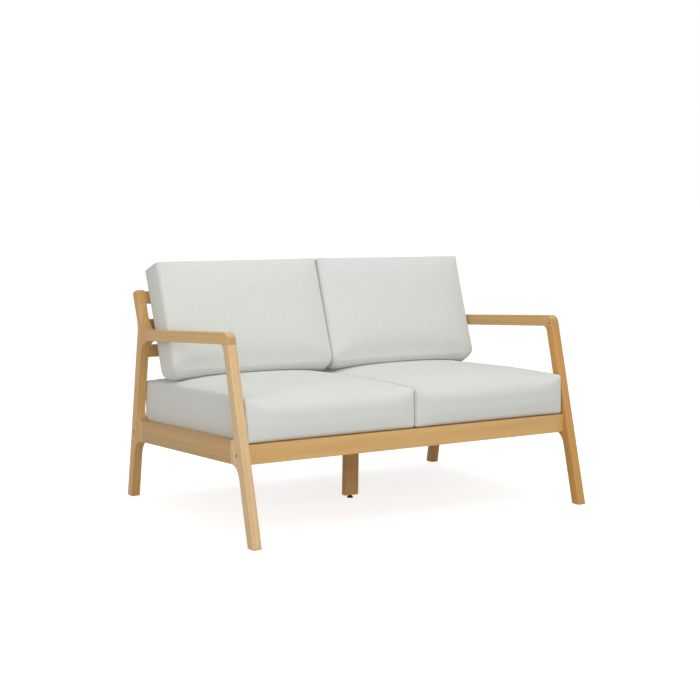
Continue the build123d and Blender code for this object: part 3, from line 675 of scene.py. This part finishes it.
def weaveMap(mesh, side, flat, half, panelShift=3.0):
    # metres along weft and warp: the strip unrolled over its four sides, and each end panel flat
    # and shifted clear of it
    vertex = np.empty(len(mesh.loops), dtype=int)
    mesh.loops.foreach_get("vertex_index", vertex)
    x, y, z = flat[vertex].T
    side = np.repeat(side, 4)
    along = np.select(
        [side == 5, side == 4, side == 3, side == 2],
        [y, 2 * half[1] + 2 * half[2] - y, half[1] + half[2] - z, -half[1] - half[2] + z],
    )
    panel = np.column_stack([z, y]) + panelShift
    uv = np.where((side < 2)[:, None], panel, np.column_stack([x, along]))
    layer = mesh.uv_layers.new(name="weave")
    layer.data.foreach_set("uv", np.ascontiguousarray(uv).ravel())


# A lapped seam in canvas, turned in and pulled tight by its thread
seamLook = {
    "grooveDepth": 0.0010,
    "grooveWidth": 0.0013,
    # the edges turned in beside it
    "ridgeHeight": 0.0005,
    "ridgeAway": 0.0045,
    "ridgeWidth": 0.0022,
    "puckerHeight": 0.00030,
    "puckerLength": 0.013,
    "puckerReach": 0.010,
}


def sewn(mesh, half):
    # across the seam, a groove and two ridges, each a bell exp(-t^2). Along it, puckers: a sine
    # whose phase wanders by two slower sines, and which fades by exp(-distance / reach)
    look = seamLook
    gap = np.abs(storedValues(mesh, "seam"))
    rest = np.column_stack([storedValues(mesh, "rest" + axis) for axis in "XYZ"])
    groove = look["grooveDepth"] * np.exp(-((gap / look["grooveWidth"]) ** 2))
    ridge = look["ridgeHeight"] * np.exp(-(((gap - look["ridgeAway"]) / look["ridgeWidth"]) ** 2))
    nearLong = half[2] - np.abs(rest[:, 2]) < half[1] - np.abs(rest[:, 1])
    along = np.where(nearLong, rest[:, 1], rest[:, 2])
    wander = np.sin(along * 61 + rest[:, 0] * 3) * 1.4 + np.sin(along * 173 + 1.0) * 0.6
    pucker = look["puckerHeight"] * np.sin(along / look["puckerLength"] * math.tau + wander)
    pucker *= np.exp(-gap / look["puckerReach"])
    out = ridge - groove + pucker
    setCoordinates(mesh, coordinates(mesh) + vertexNormals(mesh) * out[:, None])


def swollenCover(kind, look, size):
    # one left cover in its own axes, about the middle of its foam block
    began = time.time()
    half = (size - np.array(look["smaller"])) / 2
    steps = [gradedSteps(h, look["spacing"]) for h in half]
    flat, quads, side = boxGrid(*steps)
    rest = roundedBlock(flat, half, look)
    mesh = bpy.data.meshes.new(kind + "-cover")
    mesh.from_pydata(rest.tolist(), [], quads.tolist())
    obj = bpy.data.objects.new(kind + "-cover", mesh)
    bpy.context.collection.objects.link(obj)
    seam = seamDistance(flat, half)
    for axis, values in zip("XYZ", flat.T):
        storeValues(mesh, "rest" + axis, values)
    storeValues(mesh, "seam", seam)
    weaveMap(mesh, side, flat, half)
    mesh = swollen(obj, look, heldShare(flat, half, seam, look))
    moved = coordinates(mesh) - rest
    print(kind, "cover swelled by", np.abs(moved).max(axis=0).round(4))
    setCoordinates(mesh, rest + fitted(moved, flat, half, look))
    smoother = obj.modifiers.new("finer", "SUBSURF")
    smoother.levels = smoother.render_levels = 1
    mesh = applied(obj)
    sewn(mesh, half)
    mesh.polygons.foreach_set("use_smooth", [True] * len(mesh.polygons))
    mesh.materials.clear()
    mesh.materials.append(canvas)
    print(kind, "cover of", len(mesh.vertices), "points in", round(time.time() - began, 1), "s")
    return obj, half


def localAxes(lean, upright):
    # a cushion's own axes, one a row
    across, rise = math.sin(lean), math.cos(lean)
    if upright:
        return np.array([[1, 0, 0], [0, across, rise], [0, -rise, across]])
    return np.array([[1, 0, 0], [0, rise, -across], [0, across, rise]])


def localBox(node, axes):
    points = coordinates(nodes[node].data) @ axes.T
    return points.min(axis=0), points.max(axis=0)


def topHeights(points, cell=0.010):
    # the height of a cushion's upper side over the floor, on a grid of x and y
    low = points[:, :2].min(axis=0)
    spots = np.floor((points[:, :2] - low) / cell).astype(int)
    heights = np.full(spots.max(axis=0) + 1, -1.0)
    np.maximum.at(heights, (spots[:, 0], spots[:, 1]), points[:, 2])
    return low, heights, cell


def liftedClear(points, top, gap=0.0010):
    # what would sink into the cushion below rests on it instead. The height there is the mean of
    # the four nearest cells, by nearness
    low, heights, cell = top
    place = (points[:, :2] - low) / cell - 0.5
    spots = np.floor(place).astype(int)
    inside = ((spots >= 0) & (spots < np.array(heights.shape) - 1)).all(axis=1)
    spots = np.where(inside[:, None], spots, 0)
    share = place - spots
    height = np.zeros(len(points))
    for dx in (0, 1):
        for dy in (0, 1):
            weight = np.abs(1 - dx - share[:, 0]) * np.abs(1 - dy - share[:, 1])
            height += weight * heights[spots[:, 0] + dx, spots[:, 1] + dy]
    lifted = points.copy()
    lifted[:, 2] = np.where(inside, np.maximum(points[:, 2], height + gap), points[:, 2])
    return lifted


# how a cover lies in its place, in shares of its half size
lying = {
    "reachFrom": 0.35,  # below the middle, where the lower side starts to reach down
    "frontEase": 0.8,  # how much less it does so at the front
    "pivot": 0.3,  # below the middle, what the leaning one turns about
    "sink": 0.6,  # how much of that turn its outer end follows
}


def settled(points, half, look, side):
    # with x, y and z from -1 to 1, the crown falls to the front by frontFall y^2 (1 + z) / 2,
    # and by (1 + x^3) / 2 of that, x > 0, towards the middle. The lower side reaches down and
    # the top leans forward, both evenly. Then the right one leans outwards, and the inner ends
    # move to where the two meet
    share = points[:, 1:] / half[1:]
    inward = 0.5 + 0.5 * np.clip(points[:, 0] / half[0], 0, 1) ** 3
    upper = np.clip(share[:, 1] / 2 + 0.5, 0, 1)
    points[:, 2] -= look["frontFall"] * np.clip(-share[:, 0], 0, 1) ** 2 * upper * inward
    start = lying["reachFrom"]
    lower = np.clip((-start - share[:, 0]) / (1 - start), 0, 1)
    eased = 1 - lying["frontEase"] * np.clip(share[:, 1], 0, 1)
    points[:, 1] -= look["reach"][0] * lower * eased
    points[:, 2] += look["reach"][1] * (share[:, 0] + 1) / 2
    towardsMiddle = 0.5 + 0.5 * points[:, 0] / half[0]
    if side == "right":
        points[:, 0] *= -1
        lean = math.tan(math.radians(look["tilt"]))
        points[:, 0] += lean * (points[:, 1] + lying["pivot"] * half[1])
        points[:, 1] -= lean * (points[:, 0] + half[0]) * lying["sink"]
    points[:, 0] += look["meet"] * towardsMiddle
    return points


def makeCushion(side, kind, look, axes, cover, half, below):
    # the left cushion is the cover as it is, and the right one its mirror image
    name = f"{side}-{kind}-cushion"
    node = f"{side}_{kind}_cushion_cover"
    low, high = localBox(node, axes)
    mesh = cover.data.copy()
    mesh.name = name
    obj = bpy.data.objects.new(name, mesh)
    bpy.context.collection.objects.link(obj)
    if side == "right":
        mesh.flip_normals()
    points = settled(coordinates(mesh), half, look, side)
    middle = (low + high) / 2
    middle[2] = low[2] + look["swell"][3] + half[2]
    points = np.clip(points + middle, low - look["pastLow"], high + look["pastHigh"]) @ axes
    if below is not None:
        points = liftedClear(points, below)
    setCoordinates(mesh, points)
    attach(obj, f"{side}_{kind}_cushion")
    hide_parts(node, f"{side}_{kind}_cushion_foam")
    return points


def makeCushions():
    below = {"left": None, "right": None}
    for kind, look, lean in (("seat", seatLook, seatSlope), ("back", backLook, backLean)):
        axes = localAxes(lean, kind == "back")
        low, high = localBox(f"left_{kind}_cushion_cover", axes)
        cover, half = swollenCover(kind, look, high - low)
        for side in ("left", "right"):
            points = makeCushion(side, kind, look, axes, cover, half, below[side])
            below[side] = topHeights(points)
        bpy.data.objects.remove(cover)
    print("cushions made")


makeCushions()

# Studio: a pale floor that runs out of sight, white behind, and soft light from the front left
studio = {
    "floorSize": 60.0,
    "floor": "#C4C4C2",
    "floorRoughness": 0.9,
    "floorLift": 0.73,  # what lifts it to white for the camera
    "surround": 0.47,
    "target": (0, 0, 0.4),
    # each lamp's place, width and height, watts and colour
    "lamps": {
        "key": ((-1.5, -4.2, 2.1), (3.0, 1.0), 54, "#FFFEFD"),
        "low": ((-1.8, -4.6, 0.6), (3.0, 0.8), 29, "#FFFEFE"),
        "top": ((0.2, -0.4, 3.6), (3.0, 3.0), 55, "#F6FFFE"),
        "fill": ((-4.2, -0.4, 1.6), (2.4, 2.0), 26, "#FFFAF4"),
    },
}
# the photograph's camera, worked out from the straight edges of the frame
cameraView = {
    "place": (-2.7389, -4.2262, 1.1189),
    "heading": math.radians(32.6585),
    "pitch": math.radians(6.888),
    "roll": math.radians(0.7881),
    "lens": 77.744,
    "sensor": 36,
}


def seenRay(tree):
    # 1 for rays from the camera, straight or by a mirror or glass
    rays = addNode(tree, "LightPath").node.outputs
    bounced = {0: rays["Is Glossy Ray"], 1: rays["Is Transmission Ray"]}
    bounced = addNode(tree, "Math", bounced, operation="MAXIMUM")
    return addNode(tree, "Math", {0: rays["Is Camera Ray"], 1: bounced}, operation="MAXIMUM")


def makeFloor():
    # painted matt, so pale and without a sheen. What the camera sees of it is lifted to white,
    # while it lights the loveseat as it is
    mesh = bpy.data.meshes.new("floor")
    half = studio["floorSize"] / 2
    corners = [(-half, -half, 0), (half, -half, 0), (half, half, 0), (-half, half, 0)]
    mesh.from_pydata(corners, [], [(0, 1, 2, 3)])
    floor = bpy.data.objects.new("floor", mesh)
    bpy.context.collection.objects.link(floor)
    material, tree, shader = newMaterial("painted-floor")
    shader.inputs["Base Color"].default_value = srgb(studio["floor"])
    shader.inputs["Roughness"].default_value = studio["floorRoughness"]
    lift = addNode(tree, "Math", {0: seenRay(tree), 1: studio["floorLift"]}, operation="MULTIPLY")
    glow = addNode(tree, "Emission", {"Color": (1, 1, 1, 1), "Strength": lift})
    both = addNode(tree, "AddShader", {0: shader.outputs[0], 1: glow})
    tree.links.new(both, tree.nodes["Material Output"].inputs["Surface"])
    mesh.materials.append(material)


def makeWorld():
    world = bpy.data.worlds.new("studio")
    bpy.context.scene.world = world
    world.use_nodes = True
    tree = world.node_tree
    tree.nodes.clear()
    soft = addNode(tree, "Background", {"Color": (1, 1, 1, 1), "Strength": studio["surround"]})
    white = addNode(tree, "Background", {"Color": (1, 1, 1, 1), "Strength": 1.0})
    chosen = addNode(tree, "MixShader", {0: seenRay(tree), 1: soft, 2: white})
    addNode(tree, "OutputWorld", {0: chosen})


def makeLamps():
    for name, (place, size, power, colour) in studio["lamps"].items():
        data = bpy.data.lights.new(name, "AREA")
        data.shape = "RECTANGLE"
        data.size, data.size_y = size
        data.energy = power
        data.color = srgb(colour)[:3]
        lamp = bpy.data.objects.new(name, data)
        lamp.location = place
        way = Vector(studio["target"]) - Vector(place)
        lamp.rotation_euler = way.to_track_quat("-Z", "Y").to_euler()
        bpy.context.collection.objects.link(lamp)


def makeCamera():
    view = cameraView
    aside, ahead = math.sin(view["heading"]), math.cos(view["heading"])
    flat = math.cos(view["pitch"])
    forward = Vector((aside * flat, ahead * flat, -math.sin(view["pitch"])))
    level = Vector((ahead, -aside, 0))
    up = level.cross(forward)
    right = level * math.cos(view["roll"]) + up * math.sin(view["roll"])
    top = up * math.cos(view["roll"]) - level * math.sin(view["roll"])
    data = bpy.data.cameras.new("camera")
    data.lens = view["lens"]
    data.sensor_width = view["sensor"]
    camera = bpy.data.objects.new("camera", data)
    turn = Matrix((right, top, -forward)).transposed().to_4x4()
    camera.matrix_world = Matrix.Translation(view["place"]) @ turn
    bpy.context.collection.objects.link(camera)
    bpy.context.scene.camera = camera


makeFloor()
makeWorld()
makeLamps()
makeCamera()
bpy.context.scene.view_settings.view_transform = "Standard"
print("studio set")
